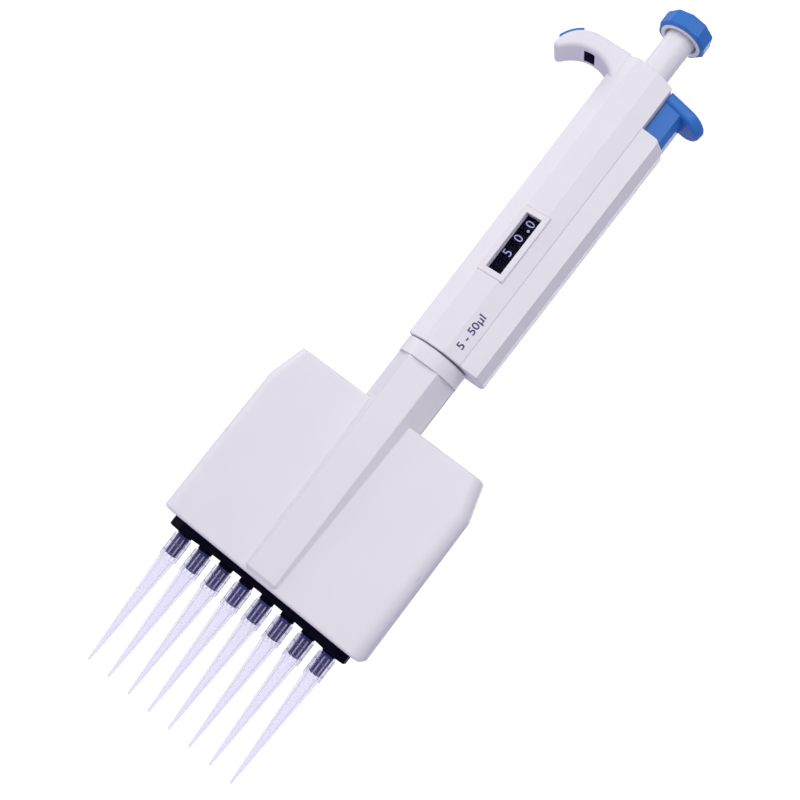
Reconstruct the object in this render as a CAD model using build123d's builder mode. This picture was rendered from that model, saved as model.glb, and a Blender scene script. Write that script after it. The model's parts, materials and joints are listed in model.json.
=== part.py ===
from build123d import *
import math
import os

# Eight-channel adjustable micropipette, 5-50 ul, standing tips down.
# Millimetres. The origin is on the main axis at the level of the tip ends, +Z is up.
# The finger hook points to -X, the tip ejector lever to +X, the display faces -Y.

# ---- Driving dimensions -------------------------------------------------------------------
CHANNELS = 8
PITCH = 9.0                      # microplate well spacing
EJECTOR_TRAVEL = 8.0

# Levels along the axis, from the tip ends up
TIP_STEP_Z = 42.3
TIP_TOP_Z = 51.7
BOSS_BOTTOM_Z = 51.8
HEAD_BOTTOM_Z = 56.3
SPINE_BOTTOM_Z = 58.8
SHOULDER_Z = 113.0
HEAD_TOP_Z = 126.3
NECK_RING_Z = 145.2
NECK_TOP_Z = 151.0
CASING_BOTTOM_Z = 151.6
WINDOW_BOTTOM_Z = 183.4
WINDOW_TOP_Z = 205.8
HOUSING_TOP_Z = 250.7
BORE_TOP_Z = 262.5
CASING_TOP_Z = 269.6             # on the axis; the top slopes down towards +X
TOP_SLOPE = 0.2
KNOB_BOTTOM_Z = 287.5
KNOB_TOP_Z = 293.9

# Head
HEAD_HALF_WIDTH = 42.0
HEAD_TOP_HALF_WIDTH = 38.2
HEAD_BOTTOM_HALF_DEPTH = 9.0
HEAD_TOP_HALF_DEPTH = 6.0
HEAD_CORNER = 4.4
HEAD_WALL = 1.6
NECK_CIRCUMRADIUS = 11.75        # hexagon of the neck and of the spine
NECK_RING_RADIUS = 11.7
NECK_SPIGOT_RADIUS = 10.0
SCREW_X = 38.0
SCREW_LEVELS = (66.0, 104.0)

# Handle
SEAM_X = 10.0                    # flat joint between casing and ejector housing
BORE_RADIUS = 9.0
ENVELOPE_GROWTH = 1.035          # the handle widens a little towards the top
ENVELOPE_TOP_Z = 276.0
BEZEL_ANGLE = -14.2              # display facet, turned from -Y towards -X
BEZEL_DISTANCE = 11.32           # outer face of the bezel from the axis
BEZEL_SHIFT = 2.4                # centre of the display along its facet

# Mechanism
ROD_RADIUS = 2.0
SHAFT_RADIUS = 5.25
RUNNING = 0.05                   # radial clearance of a running fit
WHEEL_RADIUS = 8.9
WHEEL_PITCH = 6.05
TENS_WHEEL_Z = 191.4             # middle of the lowest digit wheel
PISTON_RADIUS = 1.15
GUIDE_X = 18.0
BAR_ROD_X = 27.0
EJECTOR_ROD_X = 14.6

os.makedirs("parts", exist_ok=True)

channel_x = [PITCH * (i - (CHANNELS - 1) / 2) for i in range(CHANNELS)]
channel_points = [(x, 0) for x in channel_x]


def save(part, label):
    """Label a finished piece and write it as its own STEP file."""
    part.label = label
    export_step(part, f"parts/{label}.step")


def tube(outer, inner, low, high, points=((0, 0),)):
    """Add a round tube to the part being built, at each point."""
    with BuildSketch(Plane.XY.offset(low)) as ring:
        with Locations(*points):
            Circle(outer)
            Circle(inner, mode=Mode.SUBTRACT)
    extrude(ring.sketch, amount=high - low)


def round_bar(radius, low, high, points=((0, 0),), mode=Mode.ADD):
    """Add or cut a round bar at each point, from one level to another."""
    with BuildSketch(Plane.XY.offset(low)) as disc:
        with Locations(*points):
            Circle(radius)
    extrude(disc.sketch, amount=high - low, mode=mode)


def slab(x_limits, half_depth, low, high, mode=Mode.ADD):
    """Add or cut a rectangular block, symmetric in Y, between the given limits."""
    with BuildSketch(Plane.XY.offset(low)) as block:
        with Locations((sum(x_limits) / 2, 0)):
            Rectangle(x_limits[1] - x_limits[0], 2 * half_depth)
    extrude(block.sketch, amount=high - low, mode=mode)


def cross_bar(radius, y_low, y_high, points, mode=Mode.ADD):
    """Add or cut a round bar along Y at each (x, z) point."""
    with BuildSketch(Plane.XZ.offset(-y_high)) as disc:
        with Locations(*points):
            Circle(radius)
    extrude(disc.sketch, amount=y_high - y_low, mode=mode)


def mirrored_outline(points, level, scale=1.0):
    """A closed outline at a level, symmetric about the X axis, from its points on one side."""
    near_side = [(scale * x, -scale * y) for x, y in points]
    far_side = [(x, -y) for x, y in reversed(near_side)]
    with BuildSketch(Plane.XY.offset(level)) as outline:
        with BuildLine():
            Polyline(*near_side, *far_side, close=True)
        make_face()
    return outline.sketch


def coil_spring(label, mean_radius, wire, low, high, turns, points=((0, 0),)):
    """Compression springs with their wire ends resting inside the two levels."""
    height = high - low - wire
    pitch = height / turns
    with BuildPart() as spring:
        for x, y in points:
            start = (x, y, low + wire / 2)
            with BuildLine():
                coil = Helix(pitch=pitch, height=height, radius=mean_radius, center=start)
            with BuildSketch(Plane(origin=coil @ 0, z_dir=coil % 0)):
                Circle(wire / 2)
            sweep(path=coil)
    save(spring.part, label)


# ==== Handle: casing, hook, display and ejector housing =====================================

# Facets of the handle at its lower end, from the hook side round to the ejector side.
handle_points = [(-12.2, 3.4), (-5.0, 10.1), (3.5, 12.2), (SEAM_X, 10.2), (16.5, 8.9), (18.6, 3.0)]

top_plane = Plane(origin=(0, 0, CASING_TOP_Z), z_dir=(TOP_SLOPE, 0, 1))
seam_plane = Plane(origin=(SEAM_X, 0, 0), z_dir=(1, 0, 0))


def handle_envelope():
    """The faceted outside that the casing and the ejector housing share."""
    lower = mirrored_outline(handle_points, CASING_BOTTOM_Z)
    upper = mirrored_outline(handle_points, ENVELOPE_TOP_Z, ENVELOPE_GROWTH)
    loft([lower, upper], ruled=True)


# Display: a bezel let into the facet, with a clear lens in a rebate at its back.
BEZEL_WIDTH = 10.6
BEZEL_HEIGHT = 26.6
BEZEL_DEPTH = 1.6
BEZEL_CHAMFER = 0.15
OPENING_WIDTH = 6.3
OPENING_HEIGHT = WINDOW_TOP_Z - WINDOW_BOTTOM_Z
LENS_MARGIN = 0.6
LENS_DEPTH = 0.8
FIT_GAP = 0.03

facet_angle = math.radians(BEZEL_ANGLE)
facet_normal = Vector(math.sin(facet_angle), -math.cos(facet_angle), 0)
facet_along = Vector(math.cos(facet_angle), math.sin(facet_angle), 0)
display_mid_z = (WINDOW_BOTTOM_Z + WINDOW_TOP_Z) / 2


def display_block(width, height, outer, depth, mode=Mode.ADD):
    """Add or cut a block centred on the display, from a distance off the axis inwards."""
    origin = facet_normal * outer + facet_along * BEZEL_SHIFT + Vector(0, 0, display_mid_z)
    with BuildSketch(Plane(origin=origin, x_dir=facet_along, z_dir=facet_normal)) as face:
        Rectangle(width, height)
    extrude(face.sketch, amount=-depth, mode=mode)


# Finger hook: a straight back that turns down in one arc, with a hollow underside.
HOOK_HALF_WIDTH = 6.4
HOOK_CENTRE = (-21.8, 260.3)
HOOK_RADIUS = 12.0
HOOK_ROOT_X = -9.5
HOOK_TIP_ANGLE = 190.0
HOOK_INNER = [(HOOK_ROOT_X, 260.4), (-22.0, 265.5), (-30.4, 261.2)]   # root, crown and tip
HOOK_TIP_ROUNDING = 1.6
HOOK_ROUNDING = 1.5
HOOK_SLOT_X = (-23.8, -19.8)
HOOK_SLOT_Z = (262.0, 269.5)
HOOK_SLOT_HALF_WIDTH = 3.6
CAP_HALF_WIDTH = 4.7
CAP_PROUD = 1.1
CAP_INSET = 0.7
CAP_ROUNDING = 0.3
CAP_ANGLES = (120.0, 160.0)
SHAFT_HOLE_GAP = 0.15
TOP_ROUNDING = 0.7
BOTTOM_ROUNDING = 0.5
ARM_HALF_WIDTH = 2.0
ARM_Z = (171.0, 174.0)
SLOT_GAP = 0.3


def hook_rim(angle, radius=HOOK_RADIUS):
    """A point on an arc about the hook's centre, at an angle from +X in the XZ plane."""
    turn = math.radians(angle)
    return (HOOK_CENTRE[0] + radius * math.cos(turn), HOOK_CENTRE[1] + radius * math.sin(turn))


def cap_band(inner, outer, half_width, grow=0.0, mode=Mode.ADD):
    """Add or cut the curved band that the identification cap fills."""
    start, end = CAP_ANGLES[0] - grow, CAP_ANGLES[1] + grow
    middle = (start + end) / 2
    with BuildSketch(Plane.XZ) as band:
        with BuildLine():
            ThreePointArc(hook_rim(start, outer), hook_rim(middle, outer), hook_rim(end, outer))
            Line(hook_rim(end, outer), hook_rim(end, inner))
            ThreePointArc(hook_rim(end, inner), hook_rim(middle, inner), hook_rim(start, inner))
            Line(hook_rim(start, inner), hook_rim(start, outer))
        make_face()
    extrude(band.sketch, amount=half_width, both=True, mode=mode)


hook_top_z = hook_rim(90)[1]
hook_tip = hook_rim(HOOK_TIP_ANGLE)

with BuildPart() as hook:
    with BuildSketch(Plane.XZ):
        with BuildLine():
            ThreePointArc(*HOOK_INNER)
            Line(HOOK_INNER[-1], hook_tip)
            ThreePointArc(hook_tip, hook_rim((90 + HOOK_TIP_ANGLE) / 2), hook_rim(90))
            Line(hook_rim(90), (HOOK_ROOT_X, hook_top_z))
            Line((HOOK_ROOT_X, hook_top_z), HOOK_INNER[0])
        tip_corners = make_face().vertices().filter_by(lambda corner: corner.Y < 262 and corner.X < -20)
        fillet(tip_corners, HOOK_TIP_ROUNDING)
    extrude(amount=HOOK_HALF_WIDTH, both=True)
    sides = hook.faces().sort_by(Axis.Y)
    rims = sides[0].edges() + sides[-1].edges()
    fillet(rims.filter_by(lambda edge: edge.center().X < HOOK_ROOT_X - 1), HOOK_ROUNDING)

with BuildPart() as casing:
    handle_envelope()
    split(bisect_by=seam_plane, keep=Keep.BOTTOM)
    split(bisect_by=top_plane, keep=Keep.BOTTOM)
    fillet(casing.faces().sort_by(Axis.Z)[-1].edges(), TOP_ROUNDING)
    fillet(casing.faces().sort_by(Axis.Z)[0].edges(), BOTTOM_ROUNDING)
    add(hook.part)
    slab(HOOK_SLOT_X, HOOK_SLOT_HALF_WIDTH, *HOOK_SLOT_Z, mode=Mode.SUBTRACT)
    cap_band(HOOK_RADIUS - CAP_INSET - FIT_GAP, HOOK_RADIUS + 2, CAP_HALF_WIDTH + FIT_GAP,
             grow=0.2, mode=Mode.SUBTRACT)
    round_bar(BORE_RADIUS, CASING_BOTTOM_Z, BORE_TOP_Z, mode=Mode.SUBTRACT)
    round_bar(SHAFT_RADIUS + SHAFT_HOLE_GAP, BORE_TOP_Z, CASING_TOP_Z + 5, mode=Mode.SUBTRACT)
    display_block(BEZEL_WIDTH + 2 * FIT_GAP, BEZEL_HEIGHT + 2 * FIT_GAP, BEZEL_DISTANCE + 2,
                  BEZEL_DEPTH + 2 + FIT_GAP, mode=Mode.SUBTRACT)
    display_block(OPENING_WIDTH, OPENING_HEIGHT, BEZEL_DISTANCE, 5, mode=Mode.SUBTRACT)
    slab((BORE_RADIUS - 2, SEAM_X + 1), ARM_HALF_WIDTH + SLOT_GAP,
         ARM_Z[0] - EJECTOR_TRAVEL - SLOT_GAP, ARM_Z[1] + SLOT_GAP, mode=Mode.SUBTRACT)
save(casing.part, "handle_casing")

with BuildPart() as bezel:
    display_block(BEZEL_WIDTH, BEZEL_HEIGHT, BEZEL_DISTANCE, BEZEL_DEPTH)
    front = bezel.faces().sort_by(Axis((0, 0, 0), facet_normal))[-1]
    chamfer(front.edges(), BEZEL_CHAMFER)
    display_block(OPENING_WIDTH, OPENING_HEIGHT, BEZEL_DISTANCE, 5, mode=Mode.SUBTRACT)
    rebate = LENS_MARGIN + FIT_GAP
    display_block(OPENING_WIDTH + 2 * rebate, OPENING_HEIGHT + 2 * rebate,
                  BEZEL_DISTANCE - BEZEL_DEPTH + LENS_DEPTH + FIT_GAP, LENS_DEPTH + 1,
                  mode=Mode.SUBTRACT)
save(bezel.part, "window_bezel")

with BuildPart() as lens:
    display_block(OPENING_WIDTH + 2 * LENS_MARGIN, OPENING_HEIGHT + 2 * LENS_MARGIN,
                  BEZEL_DISTANCE - BEZEL_DEPTH + LENS_DEPTH, LENS_DEPTH)
save(lens.part, "display_window")

with BuildPart() as id_cap:
    cap_band(HOOK_RADIUS - CAP_INSET, HOOK_RADIUS + CAP_PROUD, CAP_HALF_WIDTH)
    fillet(id_cap.edges().filter_by(Axis.Y), CAP_ROUNDING)
save(id_cap.part, "hook_id_cap")

# The stem of the ejector button slides in the top of the housing, its rod runs below.
stem_points = [(SEAM_X + 0.3, 6.5), (16.8, 6.5), (18.2, 3.0)]
stem_pocket_points = [(SEAM_X - 1, 6.65), (16.9, 6.65), (18.36, 3.05)]
STEM_BOTTOM_Z = 232.0
STEM_POCKET_Z = 222.0
SPRING_LEDGE_Z = (206.5, 208.5)
CHANNEL_BOTTOM_Z = 160.0
CHANNEL_X = (SEAM_X - 1, 17.8)
CHANNEL_HALF_DEPTH = 3.2
HOUSING_CORNER_X = 16.8
HOUSING_ROUNDING = 1.3
EJECTOR_ROD_RADIUS = 1.5
ROD_HOLE_GAP = 0.1
SEAT_GAP = 0.02                  # radial gap of a fixed seat

with BuildPart() as housing:
    handle_envelope()
    split(bisect_by=seam_plane, keep=Keep.TOP)
    split(bisect_by=Plane.XY.offset(HOUSING_TOP_Z), keep=Keep.BOTTOM)
    top_edges = housing.faces().sort_by(Axis.Z)[-1].edges()
    fillet(top_edges.filter_by(lambda edge: edge.center().X > HOUSING_CORNER_X), HOUSING_ROUNDING)
    stem_pocket = mirrored_outline(stem_pocket_points, STEM_POCKET_Z)
    extrude(stem_pocket, amount=HOUSING_TOP_Z - STEM_POCKET_Z + 1, mode=Mode.SUBTRACT)
    slab(CHANNEL_X, CHANNEL_HALF_DEPTH, SPRING_LEDGE_Z[1], STEM_POCKET_Z + 1, mode=Mode.SUBTRACT)
    slab(CHANNEL_X, CHANNEL_HALF_DEPTH, CHANNEL_BOTTOM_Z, SPRING_LEDGE_Z[0], mode=Mode.SUBTRACT)
    round_bar(EJECTOR_ROD_RADIUS + ROD_HOLE_GAP, SPRING_LEDGE_Z[0] - 1, SPRING_LEDGE_Z[1] + 1,
              [(EJECTOR_ROD_X, 0)], mode=Mode.SUBTRACT)
save(housing.part, "ejector_housing")

# ==== Tip ejector: thumb lever, rod and pusher ==============================================

LEVER_SLOPE = math.radians(11.0)
LEVER_TOP_Z = 268.3              # at the casing wall
LEVER_HALF_WIDTH = 7.3
LEVER_REACH = 26.6
LEVER_THICKNESS = 4.4
LEVER_ROUNDING = 1.6
LEVER_GAP = 0.15                 # between lever and casing
STEM_TOP_Z = 264.5
ROD_SOCKET_DEPTH = 8.0
ROD_END_Z = 169.6
RING_INNER = 5.0
RING_OUTER = 6.4
PUSHER_BOTTOM_Z = 157.1

lever_plane = Plane(
    origin=(0, 0, LEVER_TOP_Z + SEAM_X * math.tan(LEVER_SLOPE)),
    x_dir=(math.cos(LEVER_SLOPE), 0, -math.sin(LEVER_SLOPE)),
    z_dir=(math.sin(LEVER_SLOPE), 0, math.cos(LEVER_SLOPE)),
)

with BuildPart() as ejector_button:
    with BuildSketch(lever_plane):
        with BuildLine():
            arc_x = LEVER_REACH - LEVER_HALF_WIDTH
            root_x = SEAM_X - 4
            Line((root_x, LEVER_HALF_WIDTH), (root_x, -LEVER_HALF_WIDTH))
            Line((root_x, -LEVER_HALF_WIDTH), (arc_x, -LEVER_HALF_WIDTH))
            ThreePointArc((arc_x, -LEVER_HALF_WIDTH), (LEVER_REACH, 0), (arc_x, LEVER_HALF_WIDTH))
            Line((arc_x, LEVER_HALF_WIDTH), (root_x, LEVER_HALF_WIDTH))
        make_face()
    extrude(amount=-LEVER_THICKNESS)
    lever_faces = ejector_button.faces().sort_by(Axis((0, 0, 0), lever_plane.z_dir))
    fillet(lever_faces[-1].edges() + lever_faces[0].edges(), LEVER_ROUNDING)
    split(bisect_by=Plane(origin=(SEAM_X + LEVER_GAP, 0, 0), z_dir=(1, 0, 0)), keep=Keep.TOP)
    extrude(mirrored_outline(stem_points, STEM_BOTTOM_Z), amount=STEM_TOP_Z - STEM_BOTTOM_Z)
    round_bar(EJECTOR_ROD_RADIUS + SEAT_GAP, STEM_BOTTOM_Z, STEM_BOTTOM_Z + ROD_SOCKET_DEPTH,
              [(EJECTOR_ROD_X, 0)], mode=Mode.SUBTRACT)
save(ejector_button.part, "ejector_button")

with BuildPart() as ejector_rod:
    round_bar(EJECTOR_ROD_RADIUS, ROD_END_Z, STEM_BOTTOM_Z + ROD_SOCKET_DEPTH - 0.1,
              [(EJECTOR_ROD_X, 0)])
    chamfer(ejector_rod.edges(), 0.2)
save(ejector_rod.part, "ejector_rod")

with BuildPart() as pusher:
    tube(RING_OUTER, RING_INNER, PUSHER_BOTTOM_Z, ARM_Z[1])
    slab((RING_OUTER - 0.7, EJECTOR_ROD_X + 2.2), ARM_HALF_WIDTH, *ARM_Z)
    round_bar(EJECTOR_ROD_RADIUS + SEAT_GAP, *ARM_Z, [(EJECTOR_ROD_X, 0)], mode=Mode.SUBTRACT)
save(pusher.part, "ejector_pusher")

coil_spring("ejector_spring", 2.35, 0.6, SPRING_LEDGE_Z[1] + 0.05, STEM_BOTTOM_Z - 0.05, 9,
            [(EJECTOR_ROD_X, 0)])

# ==== Plunger, control knob and volume setting ==============================================

KNOB_RADIUS = 9.35
KNOB_SIDES = 10
KNOB_PHASE = 1.0
KNOB_ROUNDING = 1.6
KNOB_CHAMFER = 0.7
INSERT_ROUNDING = 0.4
INSERT_RADIUS = 7.8
INSERT_MOUTH_RADIUS = 6.3
INSERT_Z = (287.2, 290.2, 291.6)     # lower face, floor of its mouth, top
SHAFT_BOTTOM_Z = 251.5
COLLAR_RADIUS = 7.2
COLLAR_HEIGHT = 1.8
DRIVE_RADIUS = 3.3
DRIVE_FLAT = 2.6
DRIVE_Z = (215.0, 252.5, 268.0)      # lower end, end of the flats, top
PUSH_ROD_Z = (160.1, 214.9)
FLANGE_RADIUS = 4.8
FLANGE_Z = (198.2, 200.2)
SCREW_RADIUS = 5.6
VOLUME_SCREW_Z = (200.45, 236.0)
NUT_Z = (226.0, 231.0)
NUT_RADIUS = 7.55
NUT_LUG = 8.3
LUG_HALF_WIDTH = 1.0
SLEEVE_RADIUS = 8.95
SLEEVE_BORE = 7.65
SLEEVE_Z = (207.0, 256.0)
CORE_RADIUS = 6.5
CORE_Z = (176.0, 178.0, 200.3)
BLOWOUT_SEAT_Z = (231.6, 233.1)
BLOWOUT_TOP_Z = 239.4
BUSH_BOTTOM_Z = 257.5

with BuildPart() as knob:
    with BuildSketch(Plane.XY.offset(KNOB_BOTTOM_Z)):
        RegularPolygon(KNOB_RADIUS, KNOB_SIDES, rotation=-90 + KNOB_PHASE)
    extrude(amount=KNOB_TOP_Z - KNOB_BOTTOM_Z)
    fillet(knob.faces().sort_by(Axis.Z)[-1].edges(), KNOB_ROUNDING)
    chamfer(knob.faces().sort_by(Axis.Z)[0].edges(), KNOB_CHAMFER)
    round_bar(INSERT_RADIUS + FIT_GAP, KNOB_BOTTOM_Z, INSERT_Z[2] + FIT_GAP, mode=Mode.SUBTRACT)
save(knob.part, "control_knob")

with BuildPart() as knob_insert:
    tube(INSERT_RADIUS, INSERT_MOUTH_RADIUS, INSERT_Z[0], INSERT_Z[1])
    tube(INSERT_RADIUS, SHAFT_RADIUS + FIT_GAP, INSERT_Z[1], INSERT_Z[2])
    fillet(knob_insert.faces().sort_by(Axis.Z)[0].edges(), INSERT_ROUNDING)
save(knob_insert.part, "knob_insert")

with BuildPart() as shaft:
    round_bar(SHAFT_RADIUS, SHAFT_BOTTOM_Z, INSERT_Z[2])
    round_bar(COLLAR_RADIUS, SHAFT_BOTTOM_Z, SHAFT_BOTTOM_Z + COLLAR_HEIGHT)
    round_bar(DRIVE_RADIUS + RUNNING, SHAFT_BOTTOM_Z, DRIVE_Z[2] + 0.1, mode=Mode.SUBTRACT)
save(shaft.part, "plunger_shaft")


def flatted_bar(radius, flat, low, high, mode=Mode.ADD):
    """Add or cut a round bar with two flats that carry the turning of the knob."""
    with BuildSketch(Plane.XY.offset(low)) as section:
        Circle(radius)
        Rectangle(2 * radius, 2 * flat, mode=Mode.INTERSECT)
    extrude(section.sketch, amount=high - low, mode=mode)


with BuildPart() as drive_rod:
    flatted_bar(DRIVE_RADIUS, DRIVE_FLAT, DRIVE_Z[0], DRIVE_Z[1])
    round_bar(DRIVE_RADIUS, DRIVE_Z[1], DRIVE_Z[2])
save(drive_rod.part, "drive_rod")

with BuildPart() as push_rod:
    round_bar(ROD_RADIUS, *PUSH_ROD_Z)
    chamfer(push_rod.edges(), 0.3)
    round_bar(FLANGE_RADIUS, *FLANGE_Z)
save(push_rod.part, "push_rod")

with BuildPart() as volume_screw:
    round_bar(SCREW_RADIUS, *VOLUME_SCREW_Z)
    flatted_bar(DRIVE_RADIUS + 0.08, DRIVE_FLAT + 0.08, *VOLUME_SCREW_Z, mode=Mode.SUBTRACT)
save(volume_screw.part, "volume_screw")

with BuildPart() as volume_nut:
    round_bar(NUT_RADIUS, *NUT_Z)
    slab((-NUT_LUG, NUT_LUG), LUG_HALF_WIDTH, *NUT_Z)
    round_bar(SCREW_RADIUS + RUNNING, *NUT_Z, mode=Mode.SUBTRACT)
save(volume_nut.part, "volume_nut")

with BuildPart() as sleeve:
    tube(SLEEVE_RADIUS, SLEEVE_BORE, *SLEEVE_Z)
    slab((-NUT_LUG - 0.1, NUT_LUG + 0.1), LUG_HALF_WIDTH + 0.1, *SLEEVE_Z, mode=Mode.SUBTRACT)
save(sleeve.part, "mechanism_sleeve")

with BuildPart() as plunger_bush:
    tube(SLEEVE_RADIUS, SHAFT_RADIUS + RUNNING, BUSH_BOTTOM_Z, BORE_TOP_Z - 0.1)
save(plunger_bush.part, "plunger_bush")

with BuildPart() as blowout_seat:
    tube(SLEEVE_BORE - FIT_GAP, SCREW_RADIUS + 0.1, *BLOWOUT_SEAT_Z)
save(blowout_seat.part, "blowout_seat")

coil_spring("blowout_spring", 6.6, 1.0, BLOWOUT_SEAT_Z[1] + 0.05, BLOWOUT_TOP_Z, 3)
coil_spring("return_spring", 3.9, 0.8, CORE_Z[1] + 0.05, FLANGE_Z[0] - 0.05, 5.5)

# ==== Counter: three digit wheels on a fixed core ===========================================

with BuildPart() as counter_core:
    tube(SLEEVE_RADIUS, ROD_RADIUS + RUNNING, CORE_Z[0], CORE_Z[1])
    tube(CORE_RADIUS, RING_INNER, CORE_Z[1], CORE_Z[2])
save(counter_core.part, "counter_core")

with BuildPart() as blank_ring:
    tube(WHEEL_RADIUS, CORE_RADIUS + FIT_GAP, CORE_Z[1] + 0.05, TENS_WHEEL_Z - WHEEL_PITCH / 2 - 0.1)
save(blank_ring.part, "counter_blank_ring")

wheel_bores = {
    "wheel_tens": CORE_RADIUS + 0.08,
    "wheel_units": CORE_RADIUS + 0.08,
    "wheel_tenths": SCREW_RADIUS + FIT_GAP,
}
for index, (label, bore) in enumerate(wheel_bores.items()):
    middle = TENS_WHEEL_Z + index * WHEEL_PITCH
    with BuildPart() as wheel:
        tube(WHEEL_RADIUS, bore, middle - WHEEL_PITCH / 2 + 0.1, middle + WHEEL_PITCH / 2 - 0.1)
        chamfer(wheel.edges().filter_by(GeomType.CIRCLE).sort_by(SortBy.RADIUS)[-2:], 0.2)
    save(wheel.part, label)

# ==== Swivel between handle and head ========================================================

SWIVEL_RADIUS = 8.0
SWIVEL_BORE = 6.9
SWIVEL_Z = (138.2, 160.6)
SWIVEL_FLANGE_Z = (140.2, 158.7)
BUSH_Z = (152.2, 158.4)

with BuildPart() as swivel_bush:
    tube(SLEEVE_RADIUS, SWIVEL_RADIUS + RUNNING, *BUSH_Z)
save(swivel_bush.part, "swivel_bush")

with BuildPart() as swivel_collar:
    tube(SWIVEL_RADIUS, SWIVEL_BORE, *SWIVEL_Z)
    tube(BORE_RADIUS, SWIVEL_RADIUS - 0.5, SWIVEL_Z[0], SWIVEL_FLANGE_Z[0])
    tube(WHEEL_RADIUS, SWIVEL_RADIUS - 0.5, SWIVEL_FLANGE_Z[1], SWIVEL_Z[1])
save(swivel_collar.part, "swivel_collar")

with BuildPart() as neck_ring:
    tube(NECK_RING_RADIUS, NECK_SPIGOT_RADIUS + RUNNING, NECK_RING_Z, NECK_TOP_Z)
    chamfer(neck_ring.faces().sort_by(Axis.Z)[-1].edges().sort_by(SortBy.LENGTH)[-1], 0.4)
save(neck_ring.part, "neck_ring")

# ==== Head shells ===========================================================================

YOKE_Z = (120.5, 123.5)
YOKE_CLEAR_Z = YOKE_Z[0] - EJECTOR_TRAVEL - 1
BLOCK_Z = (56.6, 88.0)
BLOCK_HALF_LENGTH = 35.0
BLOCK_HALF_DEPTH = 5.2
SCREW_HEAD_RADIUS = 1.9
SCREW_SHANK_RADIUS = 1.0
SCREW_HEAD_DEPTH = 1.8
SCREW_HEAD_HEIGHT = 1.3
CROSS_LENGTH = 2.6               # recess in the screw heads
CROSS_WIDTH = 0.5
CROSS_DEPTH = 0.7
BAR_OPENING_HALF_LENGTH = 36.5
BAR_OPENING_HALF_DEPTH = 5.6
RIM_ROUNDING = 1.2
SPINE_TAPER = 1.7                # the spine's lower end is chamfered by this much
RIB_X = (35.6, 40.8)
RIB_HALF_DEPTH = 6.5
RIB_Z = (88.1, 89.6)              # just above the nozzle block
SCREW_BOSS_RADIUS = 2.0
SCREW_TIP_INSET = 2.0            # from the front face to the screw tip


def head_half_depth(level):
    """Half the head's thickness, which narrows steadily from bottom to top."""
    share = (level - HEAD_BOTTOM_Z) / (HEAD_TOP_Z - HEAD_BOTTOM_Z)
    return HEAD_BOTTOM_HALF_DEPTH + share * (HEAD_TOP_HALF_DEPTH - HEAD_BOTTOM_HALF_DEPTH)


def head_half_width(level):
    """Half the head's width: constant up to the shoulder, then narrowing to the top."""
    share = max(0.0, (level - SHOULDER_Z) / (HEAD_TOP_Z - SHOULDER_Z))
    return HEAD_HALF_WIDTH + share * (HEAD_TOP_HALF_WIDTH - HEAD_HALF_WIDTH)


def head_body(inset, low, high, mode=Mode.ADD):
    """Add or cut the head's rounded block, shrunk all round by an inset."""
    sections = []
    for level in (low, SHOULDER_Z, high):
        with BuildSketch(Plane.XY.offset(level)) as section:
            width = 2 * (head_half_width(level) - inset)
            depth = 2 * (head_half_depth(level) - inset)
            RectangleRounded(width, depth, HEAD_CORNER - inset)
        sections.append(section.sketch)
    loft(sections, ruled=True, mode=mode)


def hexagon(level, radius):
    """A hexagon section with flats facing -Y and +Y."""
    with BuildSketch(Plane.XY.offset(level)) as section:
        RegularPolygon(radius, 6)
    return section.sketch


screw_points = [(side * SCREW_X, level) for side in (-1, 1) for level in SCREW_LEVELS]

with BuildPart() as head_shell:
    head_body(0, HEAD_BOTTOM_Z, HEAD_TOP_Z)
    ends = head_shell.faces().sort_by(Axis.Z)
    fillet(ends[0].edges() + ends[-1].edges(), RIM_ROUNDING)
    # the spine runs down the front and the back from the hexagonal neck
    spine_start = hexagon(SPINE_BOTTOM_Z, NECK_CIRCUMRADIUS)
    loft([hexagon(SPINE_BOTTOM_Z - SPINE_TAPER, NECK_CIRCUMRADIUS - SPINE_TAPER), spine_start], ruled=True)
    extrude(spine_start, amount=NECK_RING_Z - SPINE_BOTTOM_Z)
    round_bar(NECK_SPIGOT_RADIUS, NECK_RING_Z, NECK_TOP_Z)
    head_body(HEAD_WALL, HEAD_BOTTOM_Z + HEAD_WALL, HEAD_TOP_Z - HEAD_WALL, mode=Mode.SUBTRACT)
    slab((-BAR_OPENING_HALF_LENGTH, BAR_OPENING_HALF_LENGTH), BAR_OPENING_HALF_DEPTH,
         HEAD_BOTTOM_Z - 1, HEAD_BOTTOM_Z + HEAD_WALL + 1, mode=Mode.SUBTRACT)
    round_bar(SWIVEL_BORE, YOKE_CLEAR_Z, SWIVEL_Z[0], mode=Mode.SUBTRACT)
    round_bar(SWIVEL_RADIUS + FIT_GAP, SWIVEL_Z[0], NECK_TOP_Z, mode=Mode.SUBTRACT)
    round_bar(BORE_RADIUS + FIT_GAP, SWIVEL_Z[0] - FIT_GAP, SWIVEL_FLANGE_Z[0] + FIT_GAP,
              mode=Mode.SUBTRACT)
    # ribs that hold the nozzle block down
    for side in (-1, 1):
        slab(sorted(side * x for x in RIB_X), RIB_HALF_DEPTH, *RIB_Z)
    # bosses for the screws, which enter from the rear
    for x, level in screw_points:
        reach = head_half_depth(level)
        cross_bar(SCREW_BOSS_RADIUS, 1 - reach, reach - 1, [(x, level)])
        cross_bar(SCREW_SHANK_RADIUS + SEAT_GAP, SCREW_TIP_INSET - 0.2 - reach, reach + 1,
                  [(x, level)], mode=Mode.SUBTRACT)
        cross_bar(SCREW_HEAD_RADIUS + ROD_HOLE_GAP, reach - SCREW_HEAD_DEPTH, reach + 1,
                  [(x, level)], mode=Mode.SUBTRACT)

for label, side in (("head_front_shell", Keep.TOP), ("head_rear_shell", Keep.BOTTOM)):
    with BuildPart() as half:
        add(head_shell.part)
        split(bisect_by=Plane.XZ, keep=side)
    save(half.part, label)

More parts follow.
